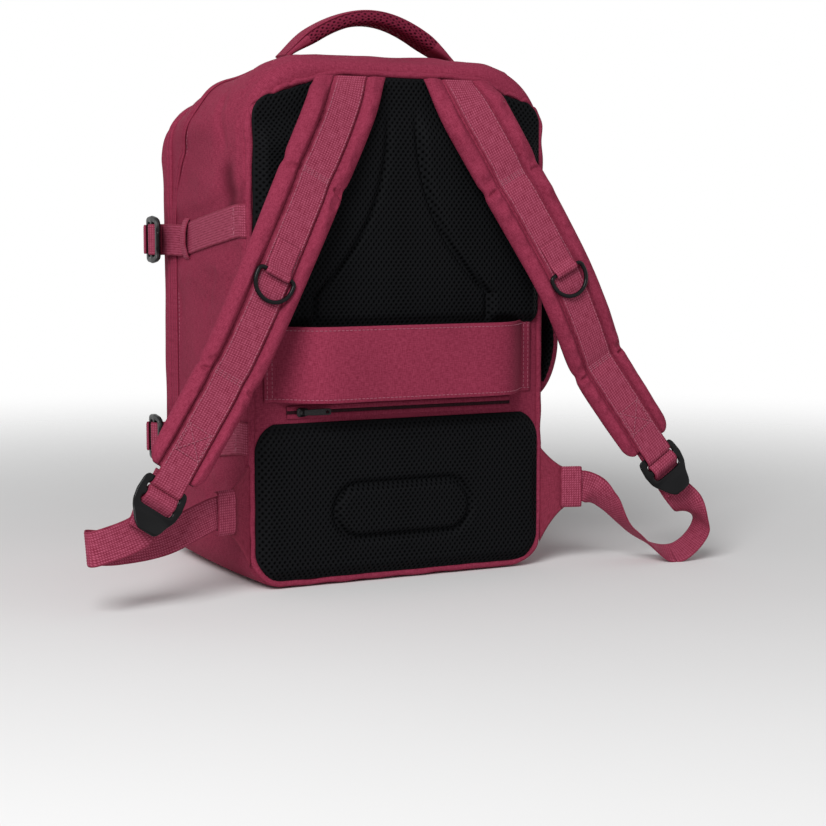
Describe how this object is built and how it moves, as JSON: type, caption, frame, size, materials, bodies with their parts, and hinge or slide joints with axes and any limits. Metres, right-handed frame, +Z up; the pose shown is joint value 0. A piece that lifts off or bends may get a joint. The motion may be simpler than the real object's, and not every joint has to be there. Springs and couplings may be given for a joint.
{
  "type": "travel backpack",
  "caption": "Carry-on travel backpack with padded mesh back, harness with ladder-lock buckles, trolley sleeve, compression straps, carrying handles and a front lid that zips open",
  "frame": {"origin": "middle of the flat base that the backpack stands on", "axes": "+Z up, the harness and mesh back face -Y, the lid faces +Y, +X is the side with the grab handle"},
  "size_m": [0.5229, 0.2638, 0.4443],
  "materials": {
    "shell_fabric": "woven polyester, matt",
    "webbing": "ribbed polyester webbing",
    "spacer_mesh": "black three-layer spacer mesh",
    "lining": "padded lining",
    "frame_board": "polyethylene board",
    "zip_tape": "coil zip tape",
    "zip_hardware": "black lacquered zinc",
    "buckle_plastic": "black moulded acetal, satin"
  },
  "bodies": {
    "pack": {"main_shell": "shell_fabric", "frame_sheet": "frame_board", "laptop_sleeve": "lining", "upper_back_pad": "spacer_mesh", "lower_back_pad": "spacer_mesh", "trolley_sleeve": "shell_fabric", "back_zip_tape": "zip_tape", "main_zip_tape": "zip_tape", "left_wing": "shell_fabric", "right_wing": "shell_fabric", "left_lower_webbing": "webbing", "right_lower_webbing": "webbing", "left_lower_compression_strap": "webbing", "left_upper_compression_strap": "webbing", "right_lower_compression_strap": "webbing", "right_upper_compression_strap": "webbing"},
    "lid": {"front_panel": "shell_fabric", "front_pocket": "shell_fabric", "front_zip_tape": "zip_tape", "left_lower_compression_loop": "webbing", "left_upper_compression_loop": "webbing", "right_lower_compression_loop": "webbing", "right_upper_compression_loop": "webbing"},
    "carry_handle": {"top_handle": "shell_fabric"},
    "grab_handle": {"side_handle": "shell_fabric"},
    "left_strap": {"left_strap_pad": "shell_fabric", "left_strap_webbing": "webbing", "left_d_ring_loop": "webbing"},
    "right_strap": {"right_strap_pad": "shell_fabric", "right_strap_webbing": "webbing", "right_d_ring_loop": "webbing"},
    "left_ring": {"left_d_ring": "buckle_plastic"},
    "right_ring": {"right_d_ring": "buckle_plastic"},
    "left_buckle": {"left_ladder_lock": "buckle_plastic"},
    "right_buckle": {"right_ladder_lock": "buckle_plastic"},
    "left_lower_lock": {"left_lower_compression_ladder_lock": "buckle_plastic"},
    "left_upper_lock": {"left_upper_compression_ladder_lock": "buckle_plastic"},
    "right_lower_lock": {"right_lower_compression_ladder_lock": "buckle_plastic"},
    "right_upper_lock": {"right_upper_compression_ladder_lock": "buckle_plastic"},
    "back_runner": {"back_zip_slider": "zip_hardware"},
    "back_pull": {"back_zip_puller": "zip_hardware"},
    "main_left_runner": {"main_zip_left_slider": "zip_hardware"},
    "main_left_pull": {"main_zip_left_puller": "zip_hardware"},
    "main_right_runner": {"main_zip_right_slider": "zip_hardware"},
    "main_right_pull": {"main_zip_right_puller": "zip_hardware"},
    "front_runner": {"front_zip_slider": "zip_hardware"},
    "front_pull": {"front_zip_puller": "zip_hardware"}
  },
  "joints": [
    {"name": "lid_hinge", "type": "hinge", "parent": "pack", "child": "lid", "pos_m": [0, 0.0768, 0], "axis": [-1, 0, 0], "range_deg": [0, 170], "deforming": ["left_lower_compression_strap", "left_upper_compression_strap", "right_lower_compression_strap", "right_upper_compression_strap"]},
    {"name": "carry_handle_tip", "type": "hinge", "parent": "pack", "child": "carry_handle", "pos_m": [0, -0.03, 0.4113], "axis": [1, 0, 0], "range_deg": [-55, 55]},
    {"name": "grab_handle_tip", "type": "hinge", "parent": "pack", "child": "grab_handle", "pos_m": [0.13516, -0.058, 0.18], "axis": [0, 0, 1], "range_deg": [-50, 50]},
    {"name": "left_strap_swing", "type": "hinge", "parent": "pack", "child": "left_strap", "pos_m": [-0.045, -0.0969, 0.384], "axis": [-1, 0, 0], "range_deg": [0, 30], "deforming": ["left_lower_webbing"]},
    {"name": "right_strap_swing", "type": "hinge", "parent": "pack", "child": "right_strap", "pos_m": [0.045, -0.0969, 0.384], "axis": [-1, 0, 0], "range_deg": [0, 30], "deforming": ["right_lower_webbing"]},
    {"name": "left_ring_flip", "type": "hinge", "parent": "left_strap", "child": "left_ring", "pos_m": [-0.12087, -0.13469, 0.23911], "axis": [-0.8884, 0, 0.4591], "range_deg": [0, 150]},
    {"name": "right_ring_flip", "type": "hinge", "parent": "right_strap", "child": "right_ring", "pos_m": [0.12087, -0.13469, 0.23911], "axis": [-0.8884, 0, -0.4591], "range_deg": [0, 150]},
    {"name": "left_buckle_tilt", "type": "hinge", "parent": "left_strap", "child": "left_buckle", "pos_m": [-0.20703, -0.13523, 0.09077], "axis": [-0.83, 0, 0.5578], "range_deg": [-10, 60]},
    {"name": "right_buckle_tilt", "type": "hinge", "parent": "right_strap", "child": "right_buckle", "pos_m": [0.20703, -0.13523, 0.09077], "axis": [-0.83, 0, -0.5578], "range_deg": [-10, 60]},
    {"name": "left_lower_lock_tilt", "type": "hinge", "parent": "lid", "child": "left_lower_lock", "pos_m": [-0.1395, 0.09162, 0.1], "axis": [0, 0, -1], "range_deg": [-8, 60]},
    {"name": "left_upper_lock_tilt", "type": "hinge", "parent": "lid", "child": "left_upper_lock", "pos_m": [-0.1395, 0.09162, 0.262], "axis": [0, 0, -1], "range_deg": [-8, 60]},
    {"name": "right_lower_lock_tilt", "type": "hinge", "parent": "lid", "child": "right_lower_lock", "pos_m": [0.1395, 0.09162, 0.1], "axis": [0, 0, 1], "range_deg": [-8, 60]},
    {"name": "right_upper_lock_tilt", "type": "hinge", "parent": "lid", "child": "right_upper_lock", "pos_m": [0.1395, 0.09162, 0.262], "axis": [0, 0, 1], "range_deg": [-8, 60]},
    {"name": "back_zip_run", "type": "slide", "parent": "pack", "child": "back_runner", "axis": [1, 0, 0], "range_m": [0, 0.168]},
    {"name": "back_pull_flip", "type": "hinge", "parent": "back_runner", "child": "back_pull", "pos_m": [-0.084, -0.096, 0.1338], "axis": [0, 0, -1], "range_deg": [0, 150]},
    {"name": "main_left_zip_run", "type": "slide", "parent": "pack", "child": "main_left_runner", "axis": [-1, 0, 0], "range_m": [0, 0.038]},
    {"name": "main_left_pull_flip", "type": "hinge", "parent": "main_left_runner", "child": "main_left_pull", "pos_m": [-0.026, 0.07124, 0.39579], "axis": [0, 0.9579, -0.2871], "range_deg": [0, 150]},
    {"name": "main_right_zip_run", "type": "slide", "parent": "pack", "child": "main_right_runner", "axis": [1, 0, 0], "range_m": [0, 0.038]},
    {"name": "main_right_pull_flip", "type": "hinge", "parent": "main_right_runner", "child": "main_right_pull", "pos_m": [0.026, 0.07124, 0.39579], "axis": [0, -0.9579, 0.2871], "range_deg": [0, 150]},
    {"name": "front_zip_run", "type": "slide", "parent": "lid", "child": "front_runner", "axis": [1, 0, 0], "range_m": [0, 0.148]},
    {"name": "front_pull_flip", "type": "hinge", "parent": "front_runner", "child": "front_pull", "pos_m": [-0.07, 0.1125, 0.2395], "axis": [0, 0, 1], "range_deg": [0, 150]}
  ]
}
